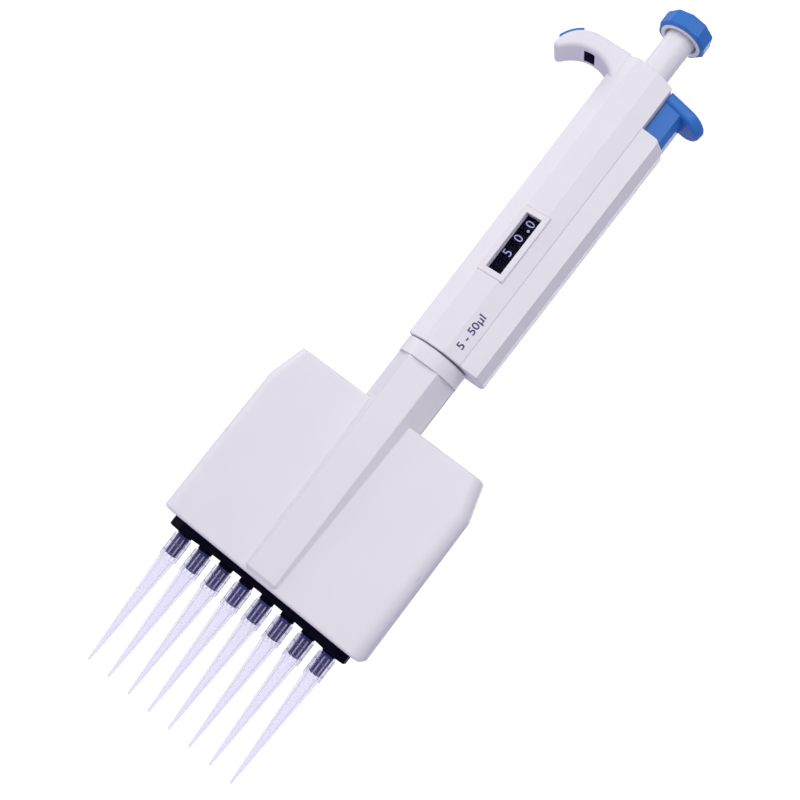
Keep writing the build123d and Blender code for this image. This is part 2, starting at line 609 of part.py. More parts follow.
with BuildPart() as head_screws:
    for x, level in screw_points:
        reach = head_half_depth(level)
        seat = reach - SCREW_HEAD_DEPTH
        cross_bar(SCREW_SHANK_RADIUS, SCREW_TIP_INSET - reach, seat, [(x, level)])
        cross_bar(SCREW_HEAD_RADIUS, seat, seat + SCREW_HEAD_HEIGHT, [(x, level)])
        with BuildSketch(Plane.XZ.offset(-seat - SCREW_HEAD_HEIGHT)):
            with Locations((x, level)):
                Rectangle(CROSS_LENGTH, CROSS_WIDTH)
                Rectangle(CROSS_WIDTH, CROSS_LENGTH)
        extrude(amount=CROSS_DEPTH, mode=Mode.SUBTRACT)
save(head_screws.part, "head_screws")

# ==== Nozzle block, seals and nozzles =======================================================

SPIGOT_RADIUS = 2.0
SPIGOT_TOP_Z = 61.0
AIR_CHANNEL_RADIUS = 0.6
SEAL_Z = (86.0, 88.0)
SEAL_RADIUS = 2.0
SPRING_WELL_RADIUS = 2.15
SPRING_WELL_Z = 72.0
PIN_RADIUS = 1.2
PIN_Z = (62.0, 124.0)
BAR_ROD_RADIUS = 1.2
PLATE_Z = (88.05, 90.0)
PLATE_SCREW_X = 9.0
PLATE_SCREW_TIP_Z = 80.5
PLATE_SCREW_HEAD_HEIGHT = 1.2
BLOCK_ROUNDING = 1.5
guide_points = [(-GUIDE_X, 0), (GUIDE_X, 0)]
bar_rod_points = [(-BAR_ROD_X, 0), (BAR_ROD_X, 0)]
plate_screw_points = [(-PLATE_SCREW_X, 0), (PLATE_SCREW_X, 0)]

with BuildPart() as nozzle_block:
    slab((-BLOCK_HALF_LENGTH, BLOCK_HALF_LENGTH), BLOCK_HALF_DEPTH, *BLOCK_Z)
    fillet(nozzle_block.edges().filter_by(Axis.Z), BLOCK_ROUNDING)
    round_bar(PISTON_RADIUS + RUNNING, SPIGOT_TOP_Z - 1, BLOCK_Z[1], channel_points, Mode.SUBTRACT)
    round_bar(SPIGOT_RADIUS + SEAT_GAP, BLOCK_Z[0], SPIGOT_TOP_Z + RUNNING, channel_points, Mode.SUBTRACT)
    round_bar(SEAL_RADIUS + FIT_GAP, *SEAL_Z, channel_points, Mode.SUBTRACT)
    round_bar(PIN_RADIUS + SEAT_GAP, PIN_Z[0], BLOCK_Z[1], guide_points, Mode.SUBTRACT)
    round_bar(SPRING_WELL_RADIUS, SPRING_WELL_Z, BLOCK_Z[1], guide_points, Mode.SUBTRACT)
    round_bar(BAR_ROD_RADIUS + RUNNING, *BLOCK_Z, bar_rod_points, Mode.SUBTRACT)
    round_bar(SCREW_SHANK_RADIUS + SEAT_GAP, PLATE_SCREW_TIP_Z - 0.5, BLOCK_Z[1], plate_screw_points,
              Mode.SUBTRACT)
save(nozzle_block.part, "nozzle_block")

with BuildPart() as seal_plate:
    slab((-BLOCK_HALF_LENGTH, BLOCK_HALF_LENGTH), BLOCK_HALF_DEPTH, *PLATE_Z)
    fillet(seal_plate.edges().filter_by(Axis.Z), BLOCK_ROUNDING)
    round_bar(PISTON_RADIUS + RUNNING, *PLATE_Z, channel_points, Mode.SUBTRACT)
    round_bar(SPRING_WELL_RADIUS, *PLATE_Z, guide_points, Mode.SUBTRACT)
    round_bar(BAR_ROD_RADIUS + RUNNING, *PLATE_Z, bar_rod_points, Mode.SUBTRACT)
    round_bar(SCREW_SHANK_RADIUS + RUNNING, *PLATE_Z, plate_screw_points, Mode.SUBTRACT)
save(seal_plate.part, "seal_plate")

with BuildPart() as plate_screws:
    round_bar(SCREW_SHANK_RADIUS, PLATE_SCREW_TIP_Z, PLATE_Z[1], plate_screw_points)
    round_bar(SCREW_HEAD_RADIUS, PLATE_Z[1], PLATE_Z[1] + PLATE_SCREW_HEAD_HEIGHT, plate_screw_points)
save(plate_screws.part, "plate_screws")

with BuildPart() as piston_seals:
    tube(SEAL_RADIUS, PISTON_RADIUS + SEAT_GAP, SEAL_Z[0] + SEAT_GAP, SEAL_Z[1] - SEAT_GAP, channel_points)
save(piston_seals.part, "piston_seals")

with BuildPart() as guide_pins:
    round_bar(PIN_RADIUS, PIN_Z[0] + 0.05, PIN_Z[1], guide_points)
    chamfer(guide_pins.edges(), 0.2)
save(guide_pins.part, "guide_pins")

# Bore of a tip, which the nozzle and its sealing rings follow with a small gap.
TIP_MOUTH_RADIUS = 2.42
TIP_SEAT_RADIUS = 2.1
NOZZLE_RADIUS = 2.35
NOZZLE_END_RADIUS = 2.0
NOZZLE_END_Z = 43.9
RING_LEVELS = (48.8, 45.4)
RING_SECTION = 0.32


def tip_bore(level):
    """Inside radius of a tip's collar at a level."""
    share = (level - TIP_STEP_Z) / (TIP_TOP_Z - TIP_STEP_Z)
    return TIP_SEAT_RADIUS + share * (TIP_MOUTH_RADIUS - TIP_SEAT_RADIUS)


def ring_centre(level):
    """Radius of a sealing ring's centre line, so that the ring almost touches the tip's bore."""
    return tip_bore(level) - SEAT_GAP - RING_SECTION


with BuildPart() as nozzle:
    with BuildSketch(Plane.XZ):
        with BuildLine():
            Polyline(
                (AIR_CHANNEL_RADIUS, NOZZLE_END_Z), (NOZZLE_END_RADIUS, NOZZLE_END_Z),
                (NOZZLE_RADIUS, TIP_TOP_Z), (NOZZLE_RADIUS, BLOCK_Z[0]), (SPIGOT_RADIUS, BLOCK_Z[0]),
                (SPIGOT_RADIUS, SPIGOT_TOP_Z), (AIR_CHANNEL_RADIUS, SPIGOT_TOP_Z), close=True,
            )
        make_face()
        groove = RING_SECTION + FIT_GAP
        with Locations(*[(ring_centre(level) - groove, level) for level in RING_LEVELS]):
            Rectangle(2.0, 2 * groove, align=(Align.MIN, Align.CENTER), mode=Mode.SUBTRACT)
    revolve(axis=Axis.Z)

with BuildPart() as nozzles:
    with Locations(*channel_points):
        add(nozzle.part)
save(nozzles.part, "nozzles")

with BuildPart() as seal_ring:
    for level in RING_LEVELS:
        with BuildSketch(Plane.XZ):
            with Locations((ring_centre(level), level)):
                Circle(RING_SECTION)
        revolve(axis=Axis.Z)

with BuildPart() as nozzle_seals:
    with Locations(*channel_points):
        add(seal_ring.part)
save(nozzle_seals.part, "nozzle_seals")

# ==== Piston carriage =======================================================================

CARRIER_Z = (108.0, 112.0)
PISTON_BOTTOM_Z = 76.5
DRIVE_SOCKET_Z = 109.0
CARRIER_HALF_LENGTH = 34.0
CARRIER_HALF_DEPTH = 4.0
CARRIER_ROUNDING = 2.0
BAR_SPRING_CLEARANCE_RADIUS = 2.3

with BuildPart() as carrier:
    slab((-CARRIER_HALF_LENGTH, CARRIER_HALF_LENGTH), CARRIER_HALF_DEPTH, *CARRIER_Z)
    fillet(carrier.edges().filter_by(Axis.Z), CARRIER_ROUNDING)
    round_bar(PISTON_RADIUS + SEAT_GAP, *CARRIER_Z, channel_points, Mode.SUBTRACT)
    round_bar(PIN_RADIUS + RUNNING, *CARRIER_Z, guide_points, Mode.SUBTRACT)
    round_bar(BAR_SPRING_CLEARANCE_RADIUS, *CARRIER_Z, bar_rod_points, Mode.SUBTRACT)
    round_bar(ROD_RADIUS + SEAT_GAP, DRIVE_SOCKET_Z, CARRIER_Z[1], mode=Mode.SUBTRACT)
save(carrier.part, "piston_carrier")

with BuildPart() as pistons:
    round_bar(PISTON_RADIUS, PISTON_BOTTOM_Z, CARRIER_Z[1], channel_points)
    chamfer(pistons.edges(), 0.15)
save(pistons.part, "pistons")

with BuildPart() as piston_drive_rod:
    round_bar(ROD_RADIUS, DRIVE_SOCKET_Z + 0.05, PUSH_ROD_Z[0] - 0.05)
    chamfer(piston_drive_rod.edges(), 0.3)
save(piston_drive_rod.part, "piston_drive_rod")

coil_spring("carriage_springs", 1.75, 0.45, SPRING_WELL_Z + 0.05, CARRIER_Z[0] - 0.05, 14, guide_points)

# ==== Ejector bar in the head ===============================================================

BAR_TOP_Z = 56.15
BAR_END_BOTTOM_Z = 52.4
BAR_MIDDLE_BOTTOM_Z = 53.9
BAR_HALF_LENGTH = 37.5
BAR_HALF_DEPTH = 6.5
BOSS_RADIUS = 2.7
YOKE_HALF_LENGTH = 29.5
YOKE_HALF_DEPTH = 3.0
YOKE_ROUNDING = 2.0
bar_points = [(BAR_HALF_LENGTH, 2.5), (BAR_HALF_LENGTH - 5, BAR_HALF_DEPTH)]

with BuildPart() as ejector_bar:
    corners = [(-x, y) for x, y in bar_points] + list(reversed(bar_points))
    extrude(mirrored_outline(corners, BAR_END_BOTTOM_Z), amount=BAR_TOP_Z - BAR_END_BOTTOM_Z)
    with BuildSketch(Plane.XZ) as relief:
        with BuildLine():
            reach = BAR_HALF_LENGTH - 2
            ThreePointArc((-reach, BAR_END_BOTTOM_Z), (0, BAR_MIDDLE_BOTTOM_Z), (reach, BAR_END_BOTTOM_Z))
            Line((reach, BAR_END_BOTTOM_Z), (-reach, BAR_END_BOTTOM_Z))
        make_face()
    extrude(relief.sketch, amount=BAR_HALF_DEPTH + 1, both=True, mode=Mode.SUBTRACT)
    round_bar(BOSS_RADIUS, BOSS_BOTTOM_Z, BAR_TOP_Z, channel_points)
    round_bar(TIP_MOUTH_RADIUS, BOSS_BOTTOM_Z, BAR_TOP_Z, channel_points, Mode.SUBTRACT)
    round_bar(BAR_ROD_RADIUS + SEAT_GAP, BAR_MIDDLE_BOTTOM_Z, BAR_TOP_Z, bar_rod_points, Mode.SUBTRACT)
save(ejector_bar.part, "ejector_bar")

with BuildPart() as yoke:
    slab((-YOKE_HALF_LENGTH, YOKE_HALF_LENGTH), YOKE_HALF_DEPTH, *YOKE_Z)
    fillet(yoke.edges().filter_by(Axis.Z), YOKE_ROUNDING)
    round_bar(RING_OUTER, *YOKE_Z)
    tube(RING_OUTER, RING_INNER, YOKE_Z[1], PUSHER_BOTTOM_Z - 0.05)
    round_bar(ROD_RADIUS + 0.3, *YOKE_Z, mode=Mode.SUBTRACT)
    round_bar(PIN_RADIUS + 0.2, *YOKE_Z, guide_points, Mode.SUBTRACT)
    round_bar(BAR_ROD_RADIUS + SEAT_GAP, *YOKE_Z, bar_rod_points, Mode.SUBTRACT)
save(yoke.part, "ejector_yoke")

with BuildPart() as bar_rods:
    round_bar(BAR_ROD_RADIUS, BAR_MIDDLE_BOTTOM_Z + 0.05, YOKE_Z[1], bar_rod_points)
save(bar_rods.part, "bar_rods")

coil_spring("bar_springs", 1.85, 0.45, PLATE_Z[1] + 0.05, YOKE_Z[0] - 0.05, 10, bar_rod_points)

# ==== Tips ==================================================================================

TIP_COLLAR_RADIUS = 3.0
TIP_RIB_RADIUS = 3.35
TIP_RIBS = 12
TIP_CONE_RADIUS = 2.92
TIP_END_RADIUS = 0.5
TIP_END_BORE = 0.25
TIP_RIB_WIDTH = 0.5
TIP_PLAIN_RIM = 0.8              # collar height above the ribs

with BuildPart() as tip:
    with BuildSketch(Plane.XZ):
        with BuildLine():
            Polyline(
                (TIP_END_BORE, 0), (TIP_END_RADIUS, 0), (TIP_CONE_RADIUS, TIP_STEP_Z),
                (TIP_COLLAR_RADIUS, TIP_STEP_Z), (TIP_COLLAR_RADIUS, TIP_TOP_Z),
                (TIP_MOUTH_RADIUS, TIP_TOP_Z), (TIP_SEAT_RADIUS, TIP_STEP_Z), close=True,
            )
        make_face()
    revolve(axis=Axis.Z)
    with BuildSketch(Plane.XY.offset(TIP_STEP_Z)):
        with PolarLocations(TIP_COLLAR_RADIUS, TIP_RIBS):
            Rectangle(2 * (TIP_RIB_RADIUS - TIP_COLLAR_RADIUS), TIP_RIB_WIDTH)
    extrude(amount=TIP_TOP_Z - TIP_STEP_Z - TIP_PLAIN_RIM)

with BuildPart() as tips:
    with Locations(*channel_points):
        add(tip.part)
save(tips.part, "pipette_tips")
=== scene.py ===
import json
import math

import bmesh
import bpy
from mathutils import Matrix, Vector


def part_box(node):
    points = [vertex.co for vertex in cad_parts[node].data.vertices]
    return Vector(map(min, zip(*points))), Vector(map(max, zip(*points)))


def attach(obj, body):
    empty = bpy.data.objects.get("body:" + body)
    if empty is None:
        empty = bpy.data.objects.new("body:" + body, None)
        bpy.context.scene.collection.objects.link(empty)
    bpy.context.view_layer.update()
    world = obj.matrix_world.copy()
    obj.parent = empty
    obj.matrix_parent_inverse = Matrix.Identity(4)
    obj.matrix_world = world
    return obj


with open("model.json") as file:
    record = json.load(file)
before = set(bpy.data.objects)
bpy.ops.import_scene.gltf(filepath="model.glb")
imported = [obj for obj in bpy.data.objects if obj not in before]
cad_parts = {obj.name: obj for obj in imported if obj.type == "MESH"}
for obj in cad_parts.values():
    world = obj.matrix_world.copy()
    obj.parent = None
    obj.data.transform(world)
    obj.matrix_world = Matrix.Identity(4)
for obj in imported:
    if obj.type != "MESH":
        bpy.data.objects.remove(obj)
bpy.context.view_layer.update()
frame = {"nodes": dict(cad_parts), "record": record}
nodes = frame["nodes"]

MM = 0.001

# ---- Colours, linear RGB --------------------------------------------------------------------
SHELL_WHITE = (0.84, 0.845, 0.83)
SHELL_SHADE = (0.80, 0.80, 0.80)
BLUE = (0.036, 0.190, 0.57)
BLUE_DARK = (0.026, 0.175, 0.54)
INK_BLACK = (0.0016, 0.0014, 0.010)
INK_SHADE = (0.0012, 0.0010, 0.007)
NOZZLE_NAVY = (0.014, 0.020, 0.36)
ACETAL_CREAM = (0.72, 0.72, 0.70)
ACETAL_SHADE = (0.66, 0.66, 0.64)
STEEL_GREY = (0.58, 0.59, 0.62)
SPRING_GREY = (0.45, 0.46, 0.48)
BRASS_YELLOW = (0.70, 0.50, 0.20)
RUBBER_BLACK = (0.012, 0.010, 0.02)
RUBBER_DUST = (0.035, 0.03, 0.05)
DIGIT_WHITE = (0.62, 0.62, 0.86)
PRINT_VIOLET = (0.060, 0.045, 0.16)
SEAM_SHADE = (0.40, 0.36, 0.56)
# Painted shade inside the slot under the finger hook
SLOT_SHADE = (0.030, 0.022, 0.09)
TIP_TINT = (0.86, 0.85, 0.92)
TIP_CLEAR = (0.95, 0.945, 0.985)
# Painted shade on the two rings round each tip collar
RING_PAINTED_SHADE = (0.22, 0.20, 0.42)
LENS_CLEAR = (0.96, 0.96, 1.0)
WHITE = (1, 1, 1)

# ---- Details drawn on the plastics: a joint line and painted shade in the hook slot ---------
# Visible joint between casing and ejector housing, up to the top of the housing
SEAM_X = 10.0 * MM
SEAM_HALF_WIDTH = 0.06 * MM
SEAM_TOP = 250.6 * MM
# Slot under the finger hook, darkened with painted shade: middle and half size along X, Y and Z
HOOK_SLOT = ((-21.8 * MM, 2.04 * MM), (0.0, 3.64 * MM), (267.0 * MM, 2.6 * MM))

# Tips: pitch of the row, lower edge of the clear collars, and radius from which the ribs stand proud
TIP_PITCH = 9.0 * MM
COLLAR_BOTTOM = 42.28 * MM
RIB_START = 3.04 * MM
# Levels and half width of the two rings of painted shade round each collar
RING_LEVELS = (48.2 * MM, 44.6 * MM)
RING_HALF_WIDTH = 0.16 * MM
# Share of milky plastic, face on and at grazing angles
CONE_MILK = (0.10, 0.46)
COLLAR_MILK = (0.035, 0.32)
# Share of milky plastic on the ribs, whitened as a painted highlight
RIB_HIGHLIGHT_MILK = 0.38
# Share of the ring colour, painted shade on the collar rings
RING_SHADE_MILK = 0.45

# ---- Printing -------------------------------------------------------------------------------
# Digits on the wheels, and the point printed on the tenths wheel
DIGIT_HEIGHT = 3.3 * MM
DIGIT_WIDTH_SCALE = 0.95
DIGIT_LIFT = 0.03 * MM
FIRST_DIGIT_TURN = math.radians(-4.0)
TENTHS_SHIFT = math.radians(2.5)
DOT_TURN = math.radians(7.0)
DOT_RADIUS = 0.5 * MM
DOT_OFFSET = -2.3 * MM
DOT_SIDES = 16
# The digits run backwards round a wheel, so that turning it backwards lowers the reading.
TENS_ORDER = [str((5 - k) % 10) for k in range(10)]
UNITS_ORDER = [str(-k % 10) for k in range(10)]
TENTHS_ORDER = ["0", "5"] * 5

# The volume range is printed on the facet beside the display, and reads upwards.
LABEL_TEXT = "5 - 50µl"
LABEL_LENGTH = 13.2 * MM
LABEL_HEIGHT = 2.65 * MM
LABEL_WEIGHT = 0.025
LABEL_LIFT = 0.02 * MM
LABEL_PLACE = Vector((6.5, -11.277, 162.6)) * MM
HANDLE_GROWTH = 1.0031           # widening of the handle from its foot up to the label
FACET_NORMAL = Vector((0.294, -0.956, 0.0)).normalized()
FACET_LEAN = 0.00357             # the facet leans outwards towards the top
CAPITAL_SHARE = 0.7              # height of a capital in a font of size 1

# ---- Studio ---------------------------------------------------------------------------------
FLOOR_SIZE = 30.0
FLOOR_LIGHT = (0.95, 0.95, 0.955)
FLOOR_SHADE = (0.93, 0.93, 0.94)
FLOOR_BOUNCE = (0.60, 0.57, 0.70)
BACKDROP_GLOW = 1.2
SKY_TINT = (1.0, 0.965, 1.17)
SKY_STRENGTH = (0.60, 0.34)      # of the sky at the middle and left, and at the far right
LIGHT_TARGET = Vector((0, 0, 0.16))
# Azimuth and elevation in degrees, with azimuth 0 in front on -Y, distance and size in m, watts, tint
SOFTBOXES = {
    "key": (-82, 15, 0.9, 0.6, 1.9, (1.0, 0.995, 0.95)),
    "front": (4, 22, 1.1, 0.9, 5.2, (1.0, 0.985, 0.92)),
    "back": (176, 25, 1.1, 0.9, 4.0, (1.0, 0.99, 1.0)),
}
CAMERA_PLACE = Vector((87.1, -390.2, 104.5)) * MM
CAMERA_AIM = Vector((-3.6, 0.0, 127.3)) * MM
CAMERA_ROLL = math.radians(37.58)
CAMERA_LENS = 54.0
CAMERA_SENSOR = 36.0
CAMERA_SHIFT = (0.0172, 0.0079)


# ---- Shader nodes ---------------------------------------------------------------------------
NOISE_SPREAD = (0.3, 0.7)        # most values of a noise texture lie in here
DRAWN_LINES = (900.0, 900.0, 40.0)   # texture repeats per metre, so that the lines run along Z
EVEN_LINES = (900.0, 900.0, 900.0)


def new_material(name):
    """An empty node material with its tree and its output."""
    material = bpy.data.materials.new(name)
    material.use_nodes = True
    tree = material.node_tree
    tree.nodes.clear()
    return material, tree, tree.nodes.new("ShaderNodeOutputMaterial")


def add_node(tree, kind, inputs=None, **settings):
    """A shader node with its settings, and its input values or links."""
    node = tree.nodes.new(kind)
    for key, value in settings.items():
        setattr(node, key, value)
    for key, value in (inputs or {}).items():
        if isinstance(value, bpy.types.NodeSocket):
            tree.links.new(value, node.inputs[key])
        else:
            node.inputs[key].default_value = value
    return node


def rgba(colour):
    return (*colour, 1.0)


def position(tree, scale=(1.0, 1.0, 1.0)):
    """Object coordinates times a scale, so that texture sizes are true sizes."""
    coords = add_node(tree, "ShaderNodeTexCoord")
    inputs = {0: coords.outputs["Object"], 1: scale}
    return add_node(tree, "ShaderNodeVectorMath", inputs, operation="MULTIPLY").outputs[0]


def noise(tree, place, scale, detail):
    """Smooth noise between 0 and 1."""
    inputs = {"Vector": place, "Scale": scale, "Detail": detail}
    return add_node(tree, "ShaderNodeTexNoise", inputs).outputs["Fac"]


def calculate(tree, operation, *values, clamp=False):
    """The result of a math node on one or two values."""
    inputs = dict(enumerate(values))
    return add_node(tree, "ShaderNodeMath", inputs, operation=operation, use_clamp=clamp).outputs[0]


def remap(tree, value, source, target):
    """A value carried from one range to another, and held inside it."""
    inputs = {"Value": value, "From Min": source[0], "From Max": source[1],
              "To Min": target[0], "To Max": target[1]}
    return add_node(tree, "ShaderNodeMapRange", inputs).outputs["Result"]


def blend_values(tree, share, first, second):
    return add_node(tree, "ShaderNodeMix", {0: share, 2: first, 3: second}, data_type="FLOAT").outputs[0]


def blend_colours(tree, share, first, second):
    return add_node(tree, "ShaderNodeMix", {0: share, 6: first, 7: second}, data_type="RGBA").outputs[2]


def blend_shaders(tree, share, first, second):
    return add_node(tree, "ShaderNodeMixShader", {0: share, 1: first, 2: second}).outputs[0]


def bump(tree, height, strength, depth, **inputs):
    """A normal roughened by a height texture, on top of another normal if one is given."""
    settings = {"Height": height, "Strength": strength, "Distance": depth, **inputs}
    return add_node(tree, "ShaderNodeBump", settings).outputs["Normal"]


def near(tree, coordinate, level, half_width):
    """1 where a coordinate lies within half a width of a level, 0 elsewhere."""
    distance = calculate(tree, "ABSOLUTE", calculate(tree, "SUBTRACT", coordinate, level))
    return calculate(tree, "LESS_THAN", distance, half_width)


# ---- Materials ------------------------------------------------------------------------------
def seam_and_slot_shade(tree, place, tone):
    """The joint line beside the ejector housing, and the shadow in the slot under the hook."""
    axes = add_node(tree, "ShaderNodeSeparateXYZ", {0: place})
    below_top = calculate(tree, "LESS_THAN", axes.outputs["Z"], SEAM_TOP)
    on_seam = near(tree, axes.outputs["X"], SEAM_X, SEAM_HALF_WIDTH)
    line = calculate(tree, "MULTIPLY", on_seam, below_top)
    tone = blend_colours(tree, line, tone, rgba(SEAM_SHADE))
    # Painted shade fills the box of the slot under the hook
    in_slot_shade = 1.0
    for axis, (level, half_width) in zip("XYZ", HOOK_SLOT):
        in_slot_shade = calculate(tree, "MULTIPLY", in_slot_shade, near(tree, axes.outputs[axis], level, half_width))
    return blend_colours(tree, in_slot_shade, tone, rgba(SLOT_SHADE))


def moulded_plastic(name, colour, shade, roughness, edge=0.25 * MM, specular=0.5, jointed_and_slot_shade=False):
    """Injection moulded plastic: faint mottling, fine spark-eroded grain and softened edges."""
    material, tree, output = new_material(name)
    place = position(tree)
    tone = blend_colours(tree, noise(tree, place, scale=60.0, detail=3.0), rgba(colour), rgba(shade))
    # The joint line, and painted shade in the slot under the hook
    if jointed_and_slot_shade:
        tone = seam_and_slot_shade(tree, place, tone)
    grain = noise(tree, place, scale=2600.0, detail=2.0)
    wear = noise(tree, place, scale=220.0, detail=4.0)
    soft = add_node(tree, "ShaderNodeBevel", {"Radius": edge}, samples=4)
    shader = add_node(tree, "ShaderNodeBsdfPrincipled", {
        "Base Color": tone,
        "Roughness": remap(tree, wear, NOISE_SPREAD, (roughness - 0.05, roughness + 0.06)),
        "Normal": bump(tree, grain, strength=0.02, depth=0.05 * MM, Normal=soft.outputs["Normal"]),
        "Specular IOR Level": specular,
    })
    tree.links.new(shader.outputs[0], output.inputs["Surface"])
    return material


def brushed_metal(name, colour, roughness, scale=DRAWN_LINES):
    """Turned or ground metal with fine drawn lines."""
    material, tree, output = new_material(name)
    lines = noise(tree, position(tree, scale), scale=1.0, detail=4.0)
    shader = add_node(tree, "ShaderNodeBsdfPrincipled", {
        "Base Color": rgba(colour),
        "Metallic": 1.0,
        "Roughness": remap(tree, lines, NOISE_SPREAD, (roughness - 0.08, roughness + 0.1)),
        "Normal": bump(tree, lines, strength=0.08, depth=0.02 * MM),
    })
    tree.links.new(shader.outputs[0], output.inputs["Surface"])
    return material


def elastomer(name):
    """Moulded black seal rubber with a matt, slightly dusty surface."""
    material, tree, output = new_material(name)
    dust = noise(tree, position(tree), scale=900.0, detail=3.0)
    shader = add_node(tree, "ShaderNodeBsdfPrincipled", {
        "Base Color": blend_colours(tree, dust, rgba(RUBBER_BLACK), rgba(RUBBER_DUST)),
        "Roughness": 0.7,
        "Normal": bump(tree, dust, strength=0.1, depth=0.02 * MM),
    })
    tree.links.new(shader.outputs[0], output.inputs["Surface"])
    return material


def distance_from_tip_axis(tree, axes):
    """Distance from the axis of the nearest tip. The axes stand midway between multiples of the pitch."""
    share = calculate(tree, "FRACT", calculate(tree, "DIVIDE", axes.outputs["X"], TIP_PITCH))
    across = calculate(tree, "MULTIPLY", calculate(tree, "SUBTRACT", share, 0.5), TIP_PITCH)
    flat = add_node(tree, "ShaderNodeCombineXYZ", {"X": across, "Y": axes.outputs["Y"]})
    return add_node(tree, "ShaderNodeVectorMath", {0: flat.outputs[0]}, operation="LENGTH").outputs["Value"]


def tip_plastic(name):
    """Natural polypropylene tips: clear ribbed collars, and milky cones that turn denser at their edges. The
    ribs are whitened as a painted highlight, and two rings on each collar are darkened with painted shade.
    """
    material, tree, output = new_material(name)
    place = position(tree)
    axes = add_node(tree, "ShaderNodeSeparateXYZ", {0: place})
    level = axes.outputs["Z"]
    # The ribs are whitened as a painted highlight
    on_rib_highlight = calculate(tree, "GREATER_THAN", distance_from_tip_axis(tree, axes), RIB_START)
    on_collar = calculate(tree, "GREATER_THAN", level, COLLAR_BOTTOM)
    # Two rings of painted shade round each collar
    on_ring_shade = calculate(tree, "ADD", *[near(tree, level, ring, RING_HALF_WIDTH) for ring in RING_LEVELS])

    grazing = add_node(tree, "ShaderNodeLayerWeight", {"Blend": 0.35}).outputs["Facing"]
    collar_milk_and_rib_highlight = blend_values(tree, on_rib_highlight, remap(tree, grazing, (0.2, 0.95), COLLAR_MILK), RIB_HIGHLIGHT_MILK)
    # Milky share, with the painted highlight on the ribs and the painted shade on the rings
    milk_and_painted_light = blend_values(tree, on_collar, remap(tree, grazing, (0.1, 0.95), CONE_MILK), collar_milk_and_rib_highlight)
    milk_and_painted_light = blend_values(tree, on_ring_shade, milk_and_painted_light, RING_SHADE_MILK)
    cloud = remap(tree, noise(tree, place, scale=300.0, detail=2.0), (0.0, 1.0), (0.92, 1.08))
    milk_and_painted_light = calculate(tree, "MULTIPLY", milk_and_painted_light, cloud, clamp=True)

    clear = add_node(tree, "ShaderNodeBsdfTransparent", {"Color": rgba(TIP_CLEAR)})
    # Milky plastic, with painted shade on the collar rings
    milky = add_node(tree, "ShaderNodeBsdfPrincipled", {
        "Base Color": blend_colours(tree, on_ring_shade, rgba(TIP_TINT), rgba(RING_PAINTED_SHADE)),
        "Roughness": 0.2,
        "Specular IOR Level": 0.5,
    })
    surface = blend_shaders(tree, milk_and_painted_light, clear.outputs[0], milky.outputs[0])
    tree.links.new(surface, output.inputs["Surface"])
    return material


def clear_lens(name):
    """Clear window: see-through, with a faint tint and a polished reflection."""
    material, tree, output = new_material(name)
    scuff = noise(tree, position(tree), scale=500.0, detail=3.0)
    gloss = add_node(tree, "ShaderNodeBsdfGlossy", {
        "Color": rgba(WHITE), "Roughness": remap(tree, scuff, (0.0, 1.0), (0.03, 0.06)),
    })
    clear = add_node(tree, "ShaderNodeBsdfTransparent", {"Color": rgba(LENS_CLEAR)})
    fresnel = add_node(tree, "ShaderNodeFresnel", {"IOR": 1.08})
    surface = blend_shaders(tree, fresnel.outputs[0], clear.outputs[0], gloss.outputs[0])
    tree.links.new(surface, output.inputs["Surface"])
    return material


def ink(name, colour):
    """Printed ink with slightly uneven cover."""
    material, tree, output = new_material(name)
    speckle = noise(tree, position(tree), scale=1500.0, detail=2.0)
    thin = tuple(0.82 * channel for channel in colour)
    shader = add_node(tree, "ShaderNodeBsdfPrincipled", {
        "Base Color": blend_colours(tree, speckle, rgba(colour), rgba(thin)), "Roughness": 0.5,
    })
    tree.links.new(shader.outputs[0], output.inputs["Surface"])
    return material


def dress_nodes():
    """Every CAD node gets the material of its slot, and some get one of their own."""
    slots = {
        "white_plastic": moulded_plastic("white_plastic", SHELL_WHITE, SHELL_SHADE, roughness=0.42),
        "blue_plastic": moulded_plastic("blue_plastic", BLUE, BLUE_DARK, roughness=0.36, specular=0.3),
        "black_plastic": moulded_plastic("black_plastic", INK_BLACK, INK_SHADE, roughness=0.4, specular=0.04),
        "acetal": moulded_plastic("acetal", ACETAL_CREAM, ACETAL_SHADE, roughness=0.35),
        "tip_plastic": tip_plastic("tip_plastic"),
        "clear_plastic": clear_lens("clear_plastic"),
        "steel": brushed_metal("steel", STEEL_GREY, roughness=0.28),
        "spring_steel": brushed_metal("spring_steel", SPRING_GREY, roughness=0.32, scale=EVEN_LINES),
        "brass": brushed_metal("brass", BRASS_YELLOW, roughness=0.26),
        "seal_rubber": elastomer("seal_rubber"),
    }
    head = moulded_plastic("head_plastic", SHELL_WHITE, SHELL_SHADE, roughness=0.42, edge=0.9 * MM)
    # White plastic with the joint line and painted shade in the hook slot
    jointed_and_slot_shade = moulded_plastic("white_plastic_jointed_slot_shade", SHELL_WHITE, SHELL_SHADE, roughness=0.42, jointed_and_slot_shade=True)
    own = {
        "handle_casing": jointed_and_slot_shade, "ejector_housing": jointed_and_slot_shade,
        "head_front_shell": head, "head_rear_shell": head,
        "nozzles": moulded_plastic("nozzle_navy", NOZZLE_NAVY, INK_BLACK, roughness=0.35, specular=0.2),
    }
    for entry in frame["record"]["subparts"]:
        materials = nodes[entry["node"]].data.materials
        materials.clear()
        materials.append(own.get(entry["node"], slots[entry["material_slot"]]))


